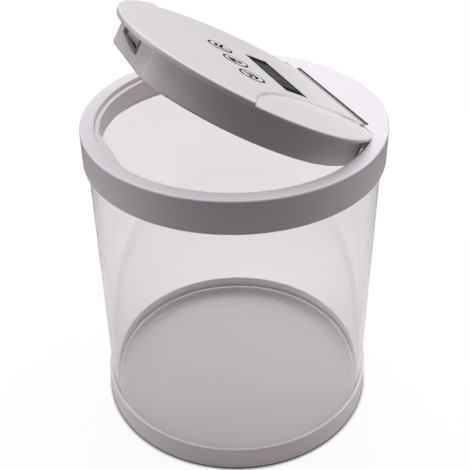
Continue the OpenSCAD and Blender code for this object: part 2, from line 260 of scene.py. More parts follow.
def marksGroup():
    # hairline scratches, finger smudges and a few specks of dust
    g, gi, go = newGroup("handlingMarks", [("Amount", "Float", 1.0)],
                         [("Smudge", "Float"), ("Scratch", "Float"), ("Dust", "Float")])
    co = wire(g, "TexCoord").outputs["Object"]
    amount = gi.outputs["Amount"]
    touched = wire(g, "TexNoise", Vector=co, Scale=38.0, Detail=5.0, Roughness=0.65,
                   Distortion=0.6)
    smudge = ramp(g, touched.outputs[0], 0.5, 0.72)
    g.links.new(times(g, smudge, amount), go.inputs["Smudge"])
    drawn = wire(g, "Mapping", Vector=co, Rotation=(0.4, 0.2, 0.7), Scale=(30.0, 900.0, 400.0))
    lines = wire(g, "TexNoise", Vector=drawn.outputs[0], Scale=1.0, Detail=2.0, Roughness=0.5)
    hairline = ramp(g, lines.outputs[0], 0.69, 0.74)
    patch = wire(g, "TexNoise", Vector=co, Scale=55.0, Detail=1.0)
    scratch = times(g, hairline, ramp(g, patch.outputs[0], 0.52, 0.66))
    g.links.new(times(g, scratch, amount), go.inputs["Scratch"])
    cells = wire(g, "TexVoronoi", Vector=co, Scale=230.0)
    speck = ramp(g, cells.outputs["Distance"], 0.03, 0.06, 1.0, 0.0)
    thin = wire(g, "TexNoise", Vector=co, Scale=90.0, Detail=1.0)
    dust = times(g, speck, ramp(g, thin.outputs[0], 0.62, 0.66))
    g.links.new(times(g, dust, amount), go.inputs["Dust"])
    return g


def wearGroup():
    # a mask for rubbed edges, from how sharply the surface bends
    g, gi, go = newGroup("edgeWear", [("Amount", "Float", 1.0)], [("Mask", "Float")])
    bend = ramp(g, wire(g, "NewGeometry").outputs["Pointiness"], 0.52, 0.60)
    co = wire(g, "TexCoord").outputs["Object"]
    uneven = wire(g, "TexNoise", Vector=co, Scale=120.0, Detail=4.0)
    rubbed = times(g, bend, uneven.outputs[0])
    g.links.new(times(g, rubbed, gi.outputs["Amount"]), go.inputs["Mask"])
    return g


groups = {"grain": grainGroup(), "marks": marksGroup(), "wear": wearGroup()}


def startMaterial(name):
    # an empty node material with its output
    mat = bpy.data.materials.new(name)
    mat.use_nodes = True
    t = mat.node_tree
    t.nodes.clear()
    out = t.nodes.new("ShaderNodeOutputMaterial")
    return mat, t, out


def useGroup(t, key, **inputs):
    # one of the shared groups, placed in a material's tree
    nd = t.nodes.new("ShaderNodeGroup")
    nd.node_tree = groups[key]
    for k, v in inputs.items():
        nd.inputs[k].default_value = v
    return nd


def mixColour(t, fac, a, b):
    # colour a at 0 and colour b at 1; either may be a socket or three numbers
    m = wire(t, "Mix", _data_type="RGBA", i0=fac)
    for sock, val in ((m.inputs[6], a), (m.inputs[7], b)):
        if isinstance(val, bpy.types.NodeSocket):
            t.links.new(val, sock)
        else:
            sock.default_value = (*val, 1)
    return m.outputs[2]


def plastic(name, colour, rough=0.32, grain=0.25, marks=1.0, coat=0.0, bevel=0.0, cloud=0.03,
            shine=0.5, inside=None):
    # moulded plastic: a faint cloud in the colour, mould grain, marks, rubbed edges, and where
    # asked a painted shade inside a radius of the axis
    mat, t, out = startMaterial(name)
    gr = useGroup(t, "grain")
    mk = useGroup(t, "marks", Amount=marks)
    wr = useGroup(t, "wear", Amount=0.5 * marks)
    dark = tuple(max(0, c - cloud) for c in colour)
    light = tuple(min(1, c + cloud * 0.6) for c in colour)
    base = mixColour(t, gr.outputs["Cloud"], dark, light)
    dusty = mixColour(t, mk.outputs["Dust"], base, tuple(c * 0.72 for c in colour))
    wornAndShaded = mixColour(t, wr.outputs["Mask"], dusty, tuple(min(1, c * 1.06) for c in colour))
    if inside:
        # painted shade: within this radius of the jar's axis the colour is darker, with a soft step
        co = wire(t, "TexCoord").outputs["Object"]
        flat = wire(t, "VectorMath", _operation="MULTIPLY", i0=co, i1=(1, 1, 0))
        away = wire(t, "VectorMath", _operation="LENGTH", i0=flat.outputs[0])
        radius, step, shadeColour = inside
        outer = ramp(t, away.outputs["Value"], radius, radius + step)
        wornAndShaded = mixColour(t, outer, shadeColour, wornAndShaded)
    smudged = ramp(t, mk.outputs["Smudge"], 0.0, 1.0, rough, rough + 0.12)
    scratched = scaledAdd(t, mk.outputs["Scratch"], 0.25, smudged)
    gloss = scaledAdd(t, gr.outputs["Cloud"], 0.08, scratched)
    relief = scaledAdd(t, mk.outputs["Scratch"], -0.6, gr.outputs["Height"])
    bump = wire(t, "Bump", Strength=grain, Distance=0.00006, Height=relief)
    if bevel:
        bv = wire(t, "Bevel", _samples=6, Radius=bevel)
        t.links.new(bv.outputs[0], bump.inputs["Normal"])
    p = wire(t, "BsdfPrincipled", Base__Color=wornAndShaded, Roughness=gloss, Normal=bump.outputs[0])
    p.inputs["IOR"].default_value = 1.5
    p.inputs["Specular IOR Level"].default_value = shine
    p.inputs["Coat Weight"].default_value = coat
    p.inputs["Coat Roughness"].default_value = 0.08
    t.links.new(p.outputs[0], out.inputs[0])
    return mat


def clearPlastic():
    # clear tube: real refraction for the eye, and tinted see-through for shadows, so that
    # the lamps reach what is inside
    mat, t, out = startMaterial("clearTube")
    mk = useGroup(t, "marks", Amount=1.0)
    gr = useGroup(t, "grain", Scale=0.02, Waviness=1.0)
    smudged = ramp(t, mk.outputs["Smudge"], 0.0, 1.0, 0.015, 0.06)
    gloss = scaledAdd(t, mk.outputs["Scratch"], 0.2, smudged)
    tint = mixColour(t, gr.outputs["Cloud"], (0.965, 0.962, 0.962), (0.985, 0.984, 0.986))
    bump = wire(t, "Bump", Strength=0.12, Distance=0.0002, Height=gr.outputs["Height"])
    p = wire(t, "BsdfPrincipled", Base__Color=tint, Roughness=gloss, Normal=bump.outputs[0])
    p.inputs["IOR"].default_value = 1.49
    p.inputs["Transmission Weight"].default_value = 1.0
    lp = wire(t, "LightPath")
    tr = wire(t, "BsdfTransparent", Color=(0.78, 0.77, 0.77, 1))
    mx = wire(t, "MixShader", i0=lp.outputs["Is Shadow Ray"], i1=p.outputs[0], i2=tr.outputs[0])
    t.links.new(mx.outputs[0], out.inputs[0])
    return mat


def metal(name, colour, rough, bevel=0.00015):
    # turned or plated steel with a fine drawn grain
    mat, t, out = startMaterial(name)
    mk = useGroup(t, "marks", Amount=0.8)
    co = wire(t, "TexCoord").outputs["Object"]
    drawn = wire(t, "Mapping", Vector=co, Scale=(200.0, 4000.0, 4000.0))
    grain = wire(t, "TexNoise", Vector=drawn.outputs[0], Scale=1.0, Detail=3.0).outputs[0]
    col = mixColour(t, grain, tuple(c * 0.86 for c in colour), colour)
    uneven = ramp(t, grain, 0.3, 0.7, rough, rough + 0.14)
    gloss = scaledAdd(t, mk.outputs["Smudge"], 0.1, uneven)
    bump = wire(t, "Bump", Strength=0.25, Distance=0.00003, Height=grain)
    bv = wire(t, "Bevel", _samples=6, Radius=bevel)
    t.links.new(bv.outputs[0], bump.inputs["Normal"])
    p = wire(t, "BsdfPrincipled", Base__Color=col, Roughness=gloss, Normal=bump.outputs[0])
    p.inputs["Metallic"].default_value = 1.0
    t.links.new(p.outputs[0], out.inputs[0])
    return mat


def boardMaterial():
    # green solder mask with darker copper runs under it
    mat, t, out = startMaterial("boardGreen")
    co = wire(t, "TexCoord").outputs["Object"]
    br = wire(t, "TexBrick", Vector=co, Scale=260.0, Color1=(0.02, 0.16, 0.06, 1),
              Color2=(0.03, 0.22, 0.09, 1))
    br.inputs["Mortar"].default_value = (0.05, 0.34, 0.15, 1)
    br.inputs["Mortar Size"].default_value = 0.03
    mask = wire(t, "TexNoise", Vector=co, Scale=400.0, Detail=3.0)
    gloss = ramp(t, mask.outputs[0], 0.3, 0.7, 0.3, 0.45)
    bump = wire(t, "Bump", Strength=0.3, Distance=0.00005, Height=br.outputs["Fac"])
    p = wire(t, "BsdfPrincipled", Base__Color=br.outputs[0], Roughness=gloss,
             Normal=bump.outputs[0])
    t.links.new(p.outputs[0], out.inputs[0])
    return mat


print("materials")
mats = {
    "lidWhite": plastic("lidWhite", (0.75, 0.722, 0.738), rough=0.28, grain=0.12, marks=0.35,
                        bevel=0.0002),
    "collarWhite": plastic("collarWhite", (0.82, 0.80, 0.84), rough=0.10, grain=0.05, cloud=0.05),
    "linerWhite": plastic("linerWhite", (0.88, 0.82, 0.83), rough=0.36, bevel=0.0003),
    "housingWhite": plastic("housingWhite", (0.74, 0.69, 0.70), rough=0.34, grain=0.2,
                            bevel=0.0004),
    # the base's colour is darker within the tube's radius as painted shade, for the light that the
    # lid and tube keep out
    "baseWhite": plastic("baseWhite", (0.72, 0.70, 0.71), rough=0.34, grain=0.2,
                         inside=(73.8 * mm, 0.7 * mm, (0.43, 0.41, 0.43))),
    "buttonWhite": plastic("buttonWhite", (0.75, 0.722, 0.738), rough=0.30, grain=0.15, marks=0.35),
    # painted shade: the latch bolt's white plastic is given a dim brownish colour and the latch
    # pocket a near-black one, for the shade inside the latch window
    "boltShadedWhite": plastic("boltShadedWhite", (0.54, 0.47, 0.46), rough=0.4, bevel=0.0003),
    "boltShade": plastic("boltShade", (0.145, 0.114, 0.110), rough=0.5, cloud=0.02),
    # painted shade: the hinge webs are white plastic given a dim grey-brown colour
    "webShadedGrey": plastic("webShadedGrey", (0.46, 0.40, 0.39), rough=0.4, grain=0.2, cloud=0.02),
    "gearNylon": plastic("gearNylon", (0.80, 0.77, 0.66), rough=0.45, grain=0.3, bevel=0.0001),
    "windowBlack": plastic("windowBlack", (0.006, 0.006, 0.007), rough=0.3, grain=0.03, cloud=0.002,
                           shine=0.06),
    # black for print, and for the painted shadow in the gap round each button
    "inkAndGapShadowBlack": plastic("inkAndGapShadowBlack", (0.010, 0.010, 0.011), rough=0.8, grain=0.3, marks=0.4,
                        cloud=0.004, shine=0.02),
    "lcdGrey": plastic("lcdGrey", (0.064, 0.068, 0.071), rough=0.3, grain=0.05, cloud=0.012,
                       shine=0.1),
    # black for painted shadow deep in the hinge gap and in the cheek slots
    "gapShadowBlack": plastic("gapShadowBlack", (0.008, 0.007, 0.007), rough=0.8, grain=0.3, marks=0.3,
                        cloud=0.003, shine=0.02),
    "partBlack": plastic("partBlack", (0.03, 0.03, 0.032), rough=0.5, grain=0.5, cloud=0.008),
    "cellJacket": plastic("cellJacket", (0.55, 0.36, 0.07), rough=0.25, grain=0.1, coat=0.3,
                          cloud=0.05),
    "steel": metal("steel", (0.72, 0.71, 0.70), 0.22),
    "motorSteel": metal("motorSteel", (0.58, 0.58, 0.60), 0.3),
    "board": boardMaterial(),
    "clear": clearPlastic(),
}


def dress(ob, key):
    # gives a piece or a CAD node one of the materials
    ob.data.materials.clear()
    ob.data.materials.append(mats[key])


# the CAD nodes that stay visible or are seen through gaps get materials too
cadLooks = {
    "base_cap": "baseWhite", "clear_tube": "clear", "collar": "collarWhite",
    "collar_liner": "linerWhite", "hinge_pins": "steel", "lid_cover": "lidWhite",
    "lid_housing": "housingWhite", "display_window": "windowBlack", "lcd_module": "lcdGrey",
    "circuit_board": "board", "board_screws": "steel", "tact_switches": "partBlack",
    "buzzer": "partBlack", "down_button": "buttonWhite", "lock_button": "buttonWhite",
    "up_button": "buttonWhite", "battery_door": "housingWhite", "battery_door_screw": "steel",
    "batteries": "cellJacket", "battery_contacts": "steel", "gear_motor": "motorSteel",
    "motor_shaft": "steel", "drive_pinion": "gearNylon", "latch_bolt": "boltShadedWhite",
    "housing_screws": "steel",
}
for nodeName, look in cadLooks.items():
    dress(frame["nodes"][nodeName], look)


def makeTube():
    # a plain ring section with softened ends, swung round the axis
    tube = {"foot": 4.5 * mm, "top": jar["height"] - 12 * mm, "soft": 0.5 * mm, "steps": 256}
    ro = jar["tubeRadius"]
    ri = ro - jar["tubeWall"]
    s = tube["soft"]
    foot, top = tube["foot"], tube["top"]
    prof = rounded([(ri, foot, s), (ro, foot, s), (ro, top, s), (ri, top, s)], closed=True, steps=4)
    ob = surface("tubeShell", revolve(prof, circleAngles(tube["steps"])), wrapV=True)
    dress(ob, "clear")
    softEdges(ob)
    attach(ob, "jar")
    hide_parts("clear_tube")


def makeBase():
    # cup section swung round the axis: foot ring, outer wall, slot for the tube, inner
    # ridge, floor
    base = {"recess": 1 * mm, "footIn": 68 * mm, "footSoft": 0.3 * mm, "floor": 3.8 * mm,
            "slot": 4.5 * mm, "tubeGap": 0.05 * mm, "edgeLow": 1.3 * mm, "edgeTop": 0.35 * mm,
            "edgeIn": 0.2 * mm, "ridgeOut": 73.5 * mm, "ridgeIn": 71.9 * mm, "ridgeTop": 9.7 * mm,
            "ridgeSoft": (0.4 * mm, 0.5 * mm), "floorSoft": 2.4 * mm, "steps": 256}
    r, h, tr = jar["baseRadius"], jar["baseHeight"], jar["tubeRadius"] + base["tubeGap"]
    ridgeOut, ridgeIn, ridgeTop = base["ridgeOut"], base["ridgeIn"], base["ridgeTop"]
    prof = rounded([
        (0, base["recess"]), (base["footIn"], base["recess"], base["footSoft"]),
        (base["footIn"] + base["recess"], 0, base["footSoft"]), (r, 0, base["edgeLow"]),
        (r, h, base["edgeTop"]), (tr, h, base["edgeIn"]), (tr, base["slot"]),
        (ridgeOut, base["slot"]), (ridgeOut, ridgeTop, base["ridgeSoft"][0]),
        (ridgeIn, ridgeTop, base["ridgeSoft"][1]), (ridgeIn, base["floor"], base["floorSoft"]),
        (0, base["floor"])], steps=6)
    grid = revolve(prof, circleAngles(base["steps"]))
    ob = surface("baseShell", grid, poleStart=True, poleEnd=True)
    dress(ob, "baseWhite")
    softEdges(ob)
    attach(ob, "jar")
    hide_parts("base_cap")


def makeCollar():
    # a ring section swung round the axis; its inner edge follows the mouth's circle and, at
    # the rear, the straight edges of the fixed crescent, each at its distance / cos or sin
    c = {"tongueHalf": 37 * mm, "tongueEdge": 57.75 * mm, "earEdge": 54.8 * mm, "edge": 1.0 * mm,
         "inner": 0.35 * mm, "skirtIn": 76.75 * mm, "skirtFlare": 0.1 * mm, "skirtSoft": 0.5 * mm,
         "linerOut": 74.1 * mm, "tubeTop": 11.95 * mm, "footSoft": 0.2 * mm,
         "ledgeSoft": 0.1 * mm, "tiny": 0.001, "least": 0.2, "steps": 384}
    mouth, top, out = jar["mouthRadius"], jar["height"], jar["collarRadius"]
    low, ledge, seat = top - jar["collarBand"], top - jar["ledgeDrop"], top - c["tubeTop"]
    aEar = math.acos(c["earEdge"] / mouth)
    aStep = math.atan2(c["tongueHalf"], c["earEdge"])
    aTongue = math.atan2(c["tongueHalf"], c["tongueEdge"])
    bends = (aEar, aStep, aStep - c["tiny"], aTongue, aTongue + c["tiny"])
    ang = circleAngles(c["steps"], [s * a for a in bends for s in (-1, 1)])
    a = np.abs(ang)
    ear = c["earEdge"] / np.maximum(np.cos(a), c["least"])
    side = c["tongueHalf"] / np.maximum(np.sin(a), c["least"])
    back = c["tongueEdge"] / np.maximum(np.cos(a), c["least"])
    inner = np.where(a < aTongue, back, np.where(a < aStep, side, np.where(a < aEar, ear, mouth)))
    prof = rounded([
        (c["skirtIn"], low, c["footSoft"]), (out + c["skirtFlare"], low, c["skirtSoft"]),
        (out, top, c["edge"]), (mouth, top, c["inner"]), (mouth, ledge, c["ledgeSoft"]),
        (c["linerOut"], ledge), (c["linerOut"], seat), (c["skirtIn"], seat)], closed=True, steps=6)
    onEdge = (prof[:, 0] < mouth + 1.2 * c["inner"]) & (prof[:, 1] > ledge - 0.01 * mm)
    grid = revolve(prof, ang)
    push = (inner - mouth)[:, None] * onEdge[None]
    grid[..., 0] += push * np.sin(ang)[:, None]
    grid[..., 1] += push * np.cos(ang)[:, None]
    ob = surface("collarRing", grid, wrapV=True)
    dress(ob, "collarWhite")
    softEdges(ob)
    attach(ob, "jar")
    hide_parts("collar")


def makeSeat():
    # a hollow quarter round under the crescent, close behind the tongue's barrel: two arcs
    # about the hinge axis, drawn straight along x and cut off at the ledge
    seat = {"inner": 5.25 * mm, "outer": 7.2 * mm, "from": 41, "to": -27, "half": 31 * mm,
            "lap": 0.02 * mm, "rows": 9}
    q = np.radians(np.linspace(seat["from"], seat["to"], 16))
    arc = np.column_stack([np.cos(q), np.sin(q)])
    ring = np.concatenate([arc * seat["inner"], arc[::-1] * seat["outer"]]) + pivot[1:]
    ring[:, 1] = np.minimum(ring[:, 1], jar["height"] - jar["ledgeDrop"] + seat["lap"])
    xs = np.linspace(-seat["half"], seat["half"], seat["rows"])
    grid = np.empty((len(xs), len(ring), 3))
    grid[..., 0], grid[..., 1:] = xs[:, None], ring
    ob = surface("barrelSeat", grid, wrapU=False, wrapV=True)
    closeEnds(ob)
    dress(ob, "collarWhite")
    softEdges(ob)
    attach(ob, "jar")


def makeHingeShadow():
    # painted shadow: the dark depth of the gap behind the tongue, as one slim black bar on the
    # crescent's edge
    g = {"half": 36.9 * mm, "front": 57.55 * mm, "back": 57.80 * mm, "drop": 0.65 * mm,
         "lip": 0.02 * mm, "corner": 0.05 * mm}
    bar = roundedBlock("hingeShadow", 2 * g["half"], g["back"] - g["front"], g["corner"],
                       jar["height"] - g["drop"], jar["height"] + g["lip"],
                       (0, (g["back"] + g["front"]) / 2), steps=3)
    dress(bar, "gapShadowBlack")
    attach(bar, "jar")


def makeHingeScreens():
    # the liner's upright web behind each end of the hinge, a plain rounded block, dim grey-brown as
    # painted shade
    g = {"near": 25 * mm, "far": 45.5 * mm, "front": 57.4 * mm, "back": 58.6 * mm,
         "top": 2.6 * mm, "bottom": 15.5 * mm, "corner": 0.2 * mm}
    for side, name in ((1, "hingeScreenRight"), (-1, "hingeScreenLeft")):
        web = roundedBlock(name, g["far"] - g["near"], g["back"] - g["front"], g["corner"],
                           jar["height"] - g["bottom"], jar["height"] - g["top"],
                           (side * (g["near"] + g["far"]) / 2, (g["front"] + g["back"]) / 2),
                           steps=4)
        dress(web, "webShadedGrey")
        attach(web, "jar")


lid = {
    "radius": 71.1 * mm, "plateau": 1.2 * mm, "bottomDrop": 1.8 * mm, "rimTaper": 0.45 * mm,
    "rimSoft": 0.9 * mm, "tongueHalf": 36.6 * mm, "barrel": 4.8 * mm, "earEnd": 2.0 * mm,
    "earX": 89.6 * mm, "earY": 24 * mm, "earRadius": 60.1 * mm, "earSlope": 1.5 * mm,
    "bossClear": 3.7 * mm, "endClear": 4.45 * mm, "endX": 46 * mm,
    "windowW": 47 * mm, "windowD": 14 * mm, "windowY": 16.6 * mm,
    "buttonPitch": 19 * mm, "buttonY": -9.1 * mm, "buttonR": 6.45 * mm, "holeR": 6.9 * mm,
}
lidTop = jar["height"] + lid["plateau"]
lidBottom = jar["height"] - lid["bottomDrop"]


def earLine(a, radius):
    # distance along each ray, from the lid's centre, to the near side of the ear's arc: the
    # nearer root of the circle's equation, or a far value where the ray misses the circle
    cx, cy = lid["earX"], lid["earY"]
    dist = math.hypot(cx, cy)
    off = a - math.atan2(cx, cy)
    under = radius ** 2 - (dist * np.sin(off)) ** 2
    near = dist * np.cos(off) - np.sqrt(np.maximum(under, 0))
    return np.where((under > 0) & (np.cos(off) > 0), near, 1.0)


def makeCover():
    # every ray from the lid's centre carries one section: flat middle, slope down to the
    # ear, ear, then the rim, the ear's rear edge or the tongue's round barrel
    c = {"rays": 420, "flatSteps": 9, "edgePoints": 15, "foot": 3.2 * mm, "crest": 1.4 * mm,
         "barrelRun": 0.4 * mm, "rimFlat": 1.0 * mm, "rimDeep": 3.0 * mm, "rimFoot": 0.4 * mm,
         "rimBend": 0.8 * mm, "pinch": 0.3 * mm, "tiny": 0.001, "pinchTiny": 0.004,
         "earDrop": 0.25 * mm, "earStep": 0.08 * mm, "earFall": 0.14 * mm, "earRows": 6,
         "barrelTurn": 1.32 * math.pi, "underside": 55 * mm, "through": 4 * mm, "above": 1 * mm,
         "windowGap": 0.4 * mm, "windowSoft": 0.8 * mm}
    yp, zp = pivot[1], pivot[2]
    rim, tongue, barrel = lid["radius"], lid["tongueHalf"], lid["barrel"]
    boss, far = lid["bossClear"], lid["endClear"]
    topDown, lowDown = jar["height"] - zp, lidBottom - zp
    yEar = yp - lid["earEnd"]
    # towards the rim the ear is cut back further, clear of the hinge boss
    yFar = yp - math.sqrt(far ** 2 - topDown ** 2)
    aFar = math.atan2(lid["endX"], yEar)
    aRim = math.acos(yFar / rim)
    aSide = math.atan2(tongue, yEar)
    aBack = math.atan2(tongue, yp + barrel)
    # the angle at which the ear's arc runs out over the rim
    probe = np.linspace(aSide, math.pi, 4001)
    onLid = earLine(probe, lid["earRadius"] + lid["earSlope"] / 2) < rim - c["pinch"]
    aPinch = probe[onLid].max()
    bends = (*np.linspace(aBack, aSide, 9), aFar - c["tiny"], aFar + c["tiny"], aRim,
             aPinch, aPinch + c["pinchTiny"], aPinch - c["pinchTiny"])
    ang = circleAngles(c["rays"], [s * a for a in bends for s in (-1, 1)])
    a = np.abs(ang)
    inTongue = a <= aSide + 1e-9
    earZone = (~inTongue) & (a <= aPinch + 1e-9)
    atRear = (~inTongue) & (a < aRim)
    along = np.maximum(np.cos(a), 0.05)
    reach = np.minimum(np.where(a < aRim, np.where(a > aFar, yFar, yEar) / along, rim), rim)
    # tongue: everything behind the hinge axis is the barrel's arc
    ySide = np.where(inTongue, tongue / np.maximum(np.tan(a), 1e-6), 1.0)
    flatEnd = np.where(inTongue, np.minimum(yp, ySide) / np.cos(a), reach)

    colR, colZ = [], []

    def column(r, z):
        colR.append(np.broadcast_to(r, ang.shape).astype(float))
        colZ.append(np.broadcast_to(z, ang.shape).astype(float))

    def earAt(s):
        return earLine(a, lid["earRadius"] + lid["earSlope"] * (1 - s))

    start = np.where(earZone, np.minimum(earAt(0), reach - c["foot"]), reach - c["foot"])
    start = np.where(inTongue, flatEnd - c["foot"], start)
    end = np.where(inTongue, flatEnd - c["barrelRun"], reach - c["crest"])
    for s in np.linspace(0, 1, c["flatSteps"]):
        column(start * s, lidTop)
    for s in np.linspace(0, 1, c["flatSteps"])[1:]:
        # the slope to the ear falls by the smooth step 3 s^2 - 2 s^3
        ear = np.minimum(earAt(s), reach - c["crest"] - (c["foot"] - c["crest"]) * (1 - s))
        fall = lid["plateau"] * s * s * (3 - 2 * s)
        column(np.where(earZone, ear, start + (end - start) * s),
               lidTop - np.where(earZone, fall, 0))
    last, topZ = colR[-1], colZ[-1]
    for s in (0.35, 0.7, 1.0):
        column(last + (np.where(inTongue, flatEnd, reach - c["rimFlat"]) - last) * s, topZ)

    # the outer section, one of three kinds, all with the same number of points
    k, rows = c["edgePoints"], c["earRows"]
    t = np.linspace(0, 1, k)
    deep = c["rimDeep"]
    edge = rounded([(-c["rimFlat"], 0), (0, 0, lid["rimSoft"]),
                    (-lid["rimTaper"], -deep, c["rimFoot"]), (-deep, -deep)], steps=6)
    run = np.concatenate([[0], np.cumsum(np.hypot(*np.diff(edge, axis=0).T))])
    rimR = np.interp(t, run / run[-1], edge[:, 0])
    rimZ = np.interp(t, run / run[-1], edge[:, 1])
    lowAng = np.linspace(math.atan2(lid["earEnd"], math.sqrt(boss ** 2 - lid["earEnd"] ** 2)),
                         math.acos(lowDown / boss), k - rows)
    farAng = np.linspace(math.acos(topDown / far), math.acos(lowDown / far), k - 1)
    deeper = (topZ - lidBottom) / deep
    for i in range(1, k):
        rimDown = topZ + rimZ[i] * np.where(rimZ[i] < -c["rimBend"], deeper, 1)
        # ear's rear edge: a short drop, then hollowed round the hinge boss
        if i < rows:
            yRear = yEar - (c["earDrop"] if i == 1 else 0)
            zRear = jar["height"] - (0 if i == 1 else c["earStep"] + c["earFall"] * (i - 2))
        else:
            yRear = yp - boss * math.sin(lowAng[i - rows])
            zRear = zp + boss * math.cos(lowAng[i - rows])
        yRear = np.where(a > aFar, yp - far * math.sin(farAng[i - 1]), yRear)
        zRear = np.where(a > aFar, zp + far * math.cos(farAng[i - 1]), zRear)
        # barrel: arc about the hinge axis, cut off at the tongue's side
        q = c["barrelTurn"] * t[i]
        yBarrel = np.minimum(yp + barrel * math.sin(q), ySide)
        column(np.where(inTongue, yBarrel / np.cos(a),
                        np.where(atRear, np.minimum(yRear / along, reach), reach + rimR[i])),
               np.where(inTongue, zp + barrel * math.cos(q),
                        np.where(atRear, zRear, np.maximum(rimDown, lidBottom))))
    endR = np.minimum(colR[-1], c["underside"])
    for s in (0.8, 0.4, 0.0):
        column(endR * s, lidBottom)
    r, z = np.stack(colR, 1), np.stack(colZ, 1)
    grid = np.stack([r * np.sin(ang)[:, None], r * np.cos(ang)[:, None], z], -1)
    ob = surface("lidTopShell", grid, poleStart=True, poleEnd=True)

    low, high = lidBottom - c["through"], lidTop + c["above"]
    hole = revolve(np.array([(0, low), (lid["holeR"], low), (lid["holeR"], high), (0, high)]),
                   circleAngles(64))
    cutters = [surface(f"cutButton{i + 1}", hole + [i * lid["buttonPitch"], lid["buttonY"], 0],
                       poleStart=True, poleEnd=True) for i in (-1, 0, 1)]
    cutters.append(roundedBlock("cutWindow", lid["windowW"] + c["windowGap"],
                                lid["windowD"] + c["windowGap"], c["windowSoft"], low, high,
                                (0, lid["windowY"])))
    cutAway(ob, cutters)
    moveOpen(ob)
    dress(ob, "lidWhite")
    softEdges(ob, angle=35)
    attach(ob, "lid")
    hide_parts("lid_cover")


def moveOpen(ob):
    # a piece that was worked out on the shut lid goes to the open one
    n = len(ob.data.vertices)
    co = np.empty(n * 3)
    ob.data.vertices.foreach_get("co", co)
    ob.data.vertices.foreach_set("co", openLid(co.reshape(-1, 3)).ravel())
    ob.data.update()


def roundedBlock(name, w, d, r, z0, z1, centre, soft=0.0, steps=7):
    # a rectangle with four arcs at its corners, lifted from z0 to z1; with soft, the upper
    # rows draw in along a quarter circle
    q = np.linspace(0, math.pi / 2, steps)
    ring = []
    for k, (sx, sy) in enumerate(((1, 1), (-1, 1), (-1, -1), (1, -1))):
        ang = q + k * math.pi / 2
        x, y = sx * (w / 2 - r) + r * np.cos(ang), sy * (d / 2 - r) + r * np.sin(ang)
        ring.append(np.column_stack([x, y]))
    ring = np.concatenate(ring)
    levels = [(0.0, z0)]
    if soft:
        levels += [(soft * (1 - math.cos(b)), z1 - soft + soft * math.sin(b))
                   for b in np.linspace(0, math.pi / 2, 5)]
    else:
        levels.append((0.0, z1))
    size = np.array([w / 2, d / 2])
    rows = [np.column_stack([ring * (size - inset) / size, np.full(len(ring), z)])
            for inset, z in levels]
    first, last = rows[0].copy(), rows[-1].copy()
    first[:, :2] *= 0
    last[:, :2] *= 0
    grid = np.stack([first, *rows, last], 1)
    grid[..., 0] += centre[0]
    grid[..., 1] += centre[1]
    return surface(name, grid, poleStart=True, poleEnd=True)


